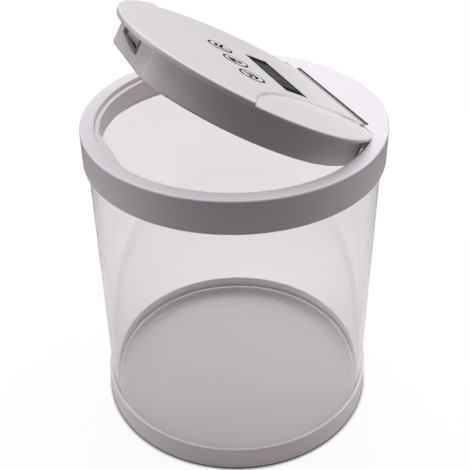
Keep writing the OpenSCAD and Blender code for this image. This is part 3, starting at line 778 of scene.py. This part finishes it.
def makeButtons():
    # caps with a shallow dish, a sphere's section z = radius - sqrt(radius^2 - r^2); the black ring
    # round each hole is painted shadow over the gap round the cap; the band on each cap and the
    # signs are thin ink
    b = {"dish": 40 * mm, "dishDrop": 0.1 * mm, "proud": 0.12 * mm, "stem": 1.5 * mm,
         "stemDrop": 1.55 * mm, "flangeOut": 1.1 * mm, "flangeDrop": 0.8 * mm, "play": 0.05 * mm,
         "soft": 0.2 * mm, "topSoft": 0.1 * mm, "ringGap": 0.04 * mm, "ringOver": 0.15 * mm,
         "ringProud": 0.05 * mm, "ringDeep": 0.5 * mm, "inkIn": 5.9 * mm, "mark": 0.02 * mm,
         "bandDeep": (0.05 * mm, 0.15 * mm), "signProud": 0.03 * mm, "signDeep": 0.05 * mm}
    top, flange = lidTop + b["proud"], lidBottom - b["play"]
    dishR = math.sqrt(b["dish"] ** 2 - (b["dish"] - b["proud"] - b["dishDrop"]) ** 2)
    rs = np.linspace(dishR, 0, 9)
    dishZ = lidTop - b["dishDrop"] + b["dish"] - np.sqrt(b["dish"] ** 2 - rs ** 2)
    stemLow, flangeLow = flange - b["stemDrop"], flange - b["flangeDrop"]
    flangeR = lid["buttonR"] + b["flangeOut"]
    outer = rounded([
        (0, stemLow), (b["stem"], stemLow, b["soft"]), (b["stem"], flangeLow),
        (flangeR, flangeLow, b["soft"]), (flangeR, flange, b["soft"]), (lid["buttonR"], flange),
        (lid["buttonR"], top, b["topSoft"]), (dishR, top, 0.0)], steps=5)
    cap = np.vstack([outer, np.column_stack([rs, dishZ])[1:]])
    ringIn, ringOut = lid["buttonR"] + b["ringGap"], lid["holeR"] + b["ringOver"]
    ringTop, bandOut = lidTop + b["ringProud"], lid["buttonR"] - b["mark"]
    ring = np.array([(ringIn, ringTop - b["ringDeep"]), (ringIn, ringTop), (ringOut, ringTop),
                     (ringOut, ringTop - b["ringDeep"])])
    band = np.array([(b["inkIn"], top - b["bandDeep"][0]), (b["inkIn"], top + b["mark"]),
                     (bandOut, top + b["mark"]), (bandOut, top - b["bandDeep"][1])])
    for i, nodeName in ((-1, "down_button"), (0, "lock_button"), (1, "up_button")):
        shift = np.array([i * lid["buttonPitch"], lid["buttonY"], 0])
        ob = surface(nodeName.replace("_", "") + "Cap", revolve(cap, circleAngles(96)) + shift,
                     poleStart=True, poleEnd=True)
        moveOpen(ob)
        dress(ob, "buttonWhite")
        softEdges(ob)
        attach(ob, nodeName)
        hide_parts(nodeName)
        darkMarks = []
        # the ring on the lid is painted shadow over the gap round the cap; the band on the cap is
        # print
        for name, section, carrier in (("gapShadowRing", ring, "lid"), ("inkBand", band, nodeName)):
            mark = surface(f"{name}{i + 1}", revolve(section, circleAngles(96)) + shift, wrapV=True)
            darkMarks.append((mark, carrier))
        for n, (x, y) in enumerate(signs(i)):
            z = lidTop - b["dishDrop"] + (x ** 2 + y ** 2) / (2 * b["dish"]) + b["signProud"]
            low = np.stack([x, y, z - b["signDeep"]], -1)
            # the upper side, then the under side back again, as one loop in v
            both = np.concatenate([np.stack([x, y, z], -1), low[:, ::-1]], axis=1) + shift
            mark = surface(f"sign{i + 1}part{n}", both, wrapU=False, wrapV=True, smooth=False)
            closeEnds(mark)
            darkMarks.append((mark, nodeName))
        for mark, carrier in darkMarks:
            moveOpen(mark)
            dress(mark, "inkAndGapShadowBlack")
            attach(mark, carrier)


def closeEnds(ob):
    # fills the two open ends of a tube-like piece
    bm = bmesh.new()
    bm.from_mesh(ob.data)
    edges = [e for e in bm.edges if e.is_boundary]
    if edges:
        bmesh.ops.holes_fill(bm, edges=edges, sides=0)
    bmesh.ops.recalc_face_normals(bm, faces=bm.faces)
    bm.to_mesh(ob.data)
    bm.free()


def signs(i):
    # generic signs as flat grids: two chevrons pointing down or up (a bent band,
    # y = rise * (1/2 - |x|)), or a padlock (a rectangle and a stretched half ring)
    g = {"half": 3.8 * mm, "rise": 2.6 * mm, "stroke": 2.1 * mm, "apart": 3.3 * mm,
         "bodyW": 6.2 * mm, "bodyD": 4.2 * mm, "shackleIn": 1.4 * mm, "shackleOut": 2.6 * mm,
         "stretch": 1.3, "lift": 0.5 * mm}
    u, v = np.meshgrid(np.linspace(0, 1, 33), np.linspace(0, 1, 7), indexing="ij")
    if i:
        bend = g["rise"] * (0.5 - np.abs(2 * u - 1)) + (v - 0.5) * g["stroke"]
        return [((2 * u - 1) * g["half"], i * bend + k * g["apart"] / 2) for k in (-1, 1)]
    a = math.pi * u
    r = g["shackleIn"] + (g["shackleOut"] - g["shackleIn"]) * v
    return [((u - 0.5) * g["bodyW"], (v - 1) * g["bodyD"] + g["lift"]),
            (r * np.cos(a), r * np.sin(a) * g["stretch"] + g["lift"])]


def stacked(name, loops):
    # closed loops laid one behind the other, with a pole at the middle of each end
    grid = np.stack(loops, 1)
    ends = [np.broadcast_to(grid[:, k].mean(0), (len(grid), 3)) for k in (0, -1)]
    return surface(name, np.concatenate([ends[0][:, None], grid, ends[1][:, None]], 1),
                   poleStart=True, poleEnd=True)


def prism(name, outline, y0, y1):
    # an outline in x and z, in mm below the collar's top, drawn straight through in y
    o = np.array(outline, float) * mm + [0, jar["height"]]
    return stacked(name, [np.column_stack([o[:, 0], np.full(len(o), y * mm), o[:, 1]])
                          for y in (y0, y1)])


def makeFacet():
    # the flat front stands slightly askew, so a wedge lies over the housing's own flat; its
    # plan runs from the left corner to the round wall, and the latch window is cut in (all mm)
    f = {"left": (-27.4, -60.32), "corner": (20.6, -63.25), "cornerSoft": 3.2, "round": 66.46,
         "end": (35.0, -56.4), "dip": 0.14, "back": -59.1, "height": 17.2,
         "foot": 0.8, "footIn": 0.5, "lap": 0.02, "nose": (-0.2, 1.0), "heel": 0.5,
         "headLeft": -20.9, "headRight": -1.4, "headTop": -5.05,
         "sill": ((-20.9, -8.95), (-9.4, -10.95), (-1.4, -11.72)), "through": (-70, -55),
         "pocketRight": 4.4, "pocketTop": -3.7, "pocketLow": -11.6, "pocketFloor": -60.75,
         "floorLow": -11.7, "floorDeep": (-0.04, 0.3),
         "guide": (-59.2, -55.9), "shelfLow": (-13, -11), "browTop": -3,
         "armLeft": -14.4, "armRight": -7.6, "armFront": -57.9, "armRows": (-14, -9)}
    start, stop = (math.atan2(*f[k][::-1]) for k in ("corner", "end"))
    t = np.linspace(0, 1, 15)[2:]
    wallR, wallA = f["round"] - f["dip"] * t ** 3, start + (stop - start) * t
    wall = np.column_stack([wallR * np.cos(wallA), wallR * np.sin(wallA)])
    plan = rounded([f["left"], (*f["corner"], f["cornerSoft"]), *wall, wall[-1] + f["nose"],
                    (f["left"][0] + f["heel"], f["back"])], closed=True, steps=9) * mm
    foot = plan.copy()
    foot[:, 1] += np.where(foot[:, 1] < -60 * mm, f["footIn"] * mm, 0)
    low, lap = jar["height"] - f["height"] * mm, f["lap"] * mm
    rows = ((foot, low - lap), (plan, low + f["foot"] * mm), (plan, lidBottom + lap))
    ob = stacked("latchFacet", [np.column_stack([q, np.full(len(q), z)]) for q, z in rows])

    x0, x1, x2 = f["headLeft"], f["headRight"], f["pocketRight"]
    head, top, sillEnd = f["headTop"], f["pocketTop"], f["sill"][-1][1]
    cutAway(ob, [prism("cutHead", [*f["sill"], (x1, head), (x0, head)], *f["through"]),
                 prism("cutPocket", [(x1 - f["lap"], sillEnd), (x2, f["pocketLow"]), (x2, top),
                                     (x1 - f["lap"], top)], f["through"][0], f["pocketFloor"])])
    # the bolt's guides behind the wall, a shelf under its head and a brow above it, and the
    # pocket's floor beside it, near-black as painted shade; the shelf has a slot for the bolt's arm
    shelf = prism("latchShelf", [*f["sill"], (x1, f["shelfLow"][0]), (x0, f["shelfLow"][1])],
                  *f["guide"])
    a0, a1, (z0, z1) = f["armLeft"], f["armRight"], f["armRows"]
    arm = [(a0, z0), (a1, z0), (a1, z1), (a0, z1)]
    cutAway(shelf, [prism("cutArm", arm, f["armFront"], f["through"][1])])
    brow = prism("latchBrow", [(x0, head), (x1, head), (x1, f["browTop"]), (x0, f["browTop"])],
                 *f["guide"])
    floor = prism("latchPocket", [(x1 + f["lap"], f["floorLow"]), (x2, f["pocketLow"]), (x2, top),
                                  (x1 + f["lap"], top)],
                  *(f["pocketFloor"] + d for d in f["floorDeep"]))
    for piece, look in ((ob, "housingWhite"), (shelf, "housingWhite"), (brow, "housingWhite"),
                        (floor, "boltShade")):
        moveOpen(piece)
        dress(piece, look)
        softEdges(piece)
        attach(piece, "lid")


def makeSlotShadows():
    # painted shadow: the dark depth of the upright slot in each cheek beside the hinge, a black
    # turned block
    c = {"at": (51.1 * mm, 45.3 * mm), "turn": 28, "deep": (-3.5 * mm, -0.1 * mm),
         "wall": (0.2 * mm, 0.85 * mm), "bottom": 16.4 * mm, "top": 6.5 * mm, "corner": 0.05 * mm}
    (x0, x1), (y0, y1) = c["deep"], c["wall"]
    for side, name in ((1, "slotShadowRight"), (-1, "slotShadowLeft")):
        block = roundedBlock(name, x1 - x0, y1 - y0, c["corner"],
                             jar["height"] - c["bottom"], jar["height"] - c["top"],
                             ((x0 + x1) / 2, side * (y0 + y1) / 2), steps=3)
        turn = Matrix.Translation((side * c["at"][0], c["at"][1], 0))
        turn @= Matrix.Rotation(math.radians(c["turn"] if side > 0 else 180 - c["turn"]), 4, "Z")
        block.data.transform(turn)
        moveOpen(block)
        dress(block, "gapShadowBlack")
        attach(block, "lid")


def makeDisplay():
    # the black window as a rounded block just below the lid's top, and the grey area on it
    d = {"drop": 0.2 * mm, "deep": 1.0 * mm, "corner": 0.7 * mm, "soft": 0.15 * mm,
         "lcdW": 33 * mm, "lcdD": 10 * mm, "lcdCorner": 0.5 * mm,
         "lcdThick": (0.05 * mm, 0.02 * mm)}
    top, centre = lidTop - d["drop"], (0, lid["windowY"])
    win = roundedBlock("displayWindow", lid["windowW"], lid["windowD"], d["corner"],
                       lidBottom - d["deep"], top, centre, soft=d["soft"])
    moveOpen(win)
    dress(win, "windowBlack")
    softEdges(win)
    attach(win, "lid")
    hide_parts("display_window")
    lcd = roundedBlock("displayArea", d["lcdW"], d["lcdD"], d["lcdCorner"],
                       top - d["lcdThick"][0], top + d["lcdThick"][1], centre)
    moveOpen(lcd)
    dress(lcd, "lcdGrey")
    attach(lcd, "lid")


print("jar pieces")
makeTube()
makeBase()
makeCollar()
makeSeat()
makeHingeShadow()
makeHingeScreens()
print("lid pieces")
makeCover()
makeButtons()
makeDisplay()
makeFacet()
makeSlotShadows()


def makeStage():
    # one big flat square; what the eye, the mirror-clear tube and the lamps' light see of it
    # are set apart by the kind of ray
    s = {"floor": (0.95, 0.95, 0.95), "size": 3.0, "near": 0.10, "far": 0.34,
         "lit": (0.86, 0.80, 0.81), "unlit": (0.12, 0.12, 0.12), "behind": (0.70, 0.68, 0.68),
         "glow": 0.92, "contact": (0.0783, 0.0803), "contactShadow": (0.30, 0.29, 0.29)}
    grid = np.array([[[x * s["size"], y * s["size"], 0] for y in (-1, 1)] for x in (-1, 1)], float)
    floor = surface("floor", grid, wrapU=False, smooth=False)
    if floor.data.polygons[0].normal.z < 0:
        floor.data.flip_normals()
    mat, t, out = startMaterial("paleFloor")
    co = wire(t, "TexCoord").outputs["Object"]
    nz = wire(t, "TexNoise", Vector=co, Scale=60.0, Detail=4.0)
    col = mixColour(t, nz.outputs[0], tuple(c - 0.01 for c in s["floor"]), s["floor"])
    lp = wire(t, "LightPath")
    eyeRay, clearRay = lp.outputs["Is Camera Ray"], lp.outputs["Is Transmission Ray"]
    away = wire(t, "VectorMath", _operation="LENGTH", i0=co).outputs["Value"]
    # painted shadow: the table's colour is darker right under the base's edge
    near, clear = s["contact"]
    col = mixColour(t, ramp(t, away, near, clear), s["contactShadow"], col)
    # away from the jar the table is darker to everything but the eye
    dim = mixColour(t, ramp(t, away, s["near"], s["far"]), s["lit"], s["unlit"])
    table = mixColour(t, clearRay, mixColour(t, eyeRay, dim, col), s["behind"])
    df = wire(t, "BsdfDiffuse", Color=table)
    em = wire(t, "Emission", Color=(1, 1, 1, 1), Strength=1.0)
    # the eye sees a lit-up table, but not right under the base's edge
    part = times(t, eyeRay, ramp(t, away, near, clear, 0.0, s["glow"]))
    mx = wire(t, "MixShader", i0=part, i1=df.outputs[0], i2=em.outputs[0])
    t.links.new(mx.outputs[0], out.inputs[0])
    floor.data.materials.append(mat)


def makeWorld():
    # white to the eye, greyer through the clear tube, and a weak warm room light
    room = {"colour": (0.95, 0.86, 0.87, 1), "strength": 0.18, "through": (0.78, 0.765, 0.765)}
    w = bpy.data.worlds.new("studio")
    bpy.context.scene.world = w
    w.use_nodes = True
    t = w.node_tree
    t.nodes.clear()
    out = t.nodes.new("ShaderNodeOutputWorld")
    lp = wire(t, "LightPath")
    eyeRay, clearRay = lp.outputs["Is Camera Ray"], lp.outputs["Is Transmission Ray"]
    seen = wire(t, "Math", _operation="MAXIMUM", i0=eyeRay, i1=clearRay)
    light = wire(t, "Background", Color=room["colour"], Strength=room["strength"])
    shade = mixColour(t, clearRay, (1, 1, 1), room["through"])
    white = wire(t, "Background", Color=shade, Strength=1.0)
    mx = wire(t, "MixShader", i0=seen.outputs[0], i1=light.outputs[0], i2=white.outputs[0])
    t.links.new(mx.outputs[0], out.inputs[0])


# softboxes: watts, width, height, place
lamps = {
    "overhead": (17, 1.3, 1.3, (-0.35, 0.25, 1.3)),
    "leftSide": (4.3, 0.5, 0.9, (-0.55, -0.85, 0.55)),
    "rearSide": (3.2, 0.4, 0.8, (0.15, 0.95, 0.6)),
}


def makeLamps():
    # each softbox faces the middle of the jar
    aim = Vector((0, 0, 0.1))
    for name, (power, width, height, place) in lamps.items():
        lamp = bpy.data.lights.new(name, "AREA")
        lamp.energy = power
        lamp.shape = "RECTANGLE"
        lamp.size, lamp.size_y = width, height
        ob = bpy.data.objects.new(name, lamp)
        ob.location = place
        ob.rotation_euler = (aim - Vector(place)).to_track_quat("-Z", "Y").to_euler()
        bpy.context.scene.collection.objects.link(ob)


def makeCamera():
    # the photograph's camera, from a fit to the jar's ellipses (mm, metres, degrees)
    c = {"lens": 68.36, "sensor": 36, "place": (0.37189, -0.16791, 0.3977),
         "heading": 65.74, "down": 35.68, "roll": -0.73}
    cam = bpy.data.cameras.new("camera")
    cam.lens, cam.sensor_width = c["lens"], c["sensor"]
    ob = bpy.data.objects.new("camera", cam)
    turn = Matrix.Rotation(math.radians(c["heading"]), 4, "Z")
    turn @= Matrix.Rotation(math.radians(90 - c["down"]), 4, "X")
    turn @= Matrix.Rotation(math.radians(c["roll"]), 4, "Z")
    ob.matrix_world = Matrix.Translation(c["place"]) @ turn
    bpy.context.scene.collection.objects.link(ob)
    bpy.context.scene.camera = ob


print("stage")
makeStage()
makeWorld()
makeLamps()
makeCamera()
bpy.context.scene.view_settings.view_transform = "Standard"
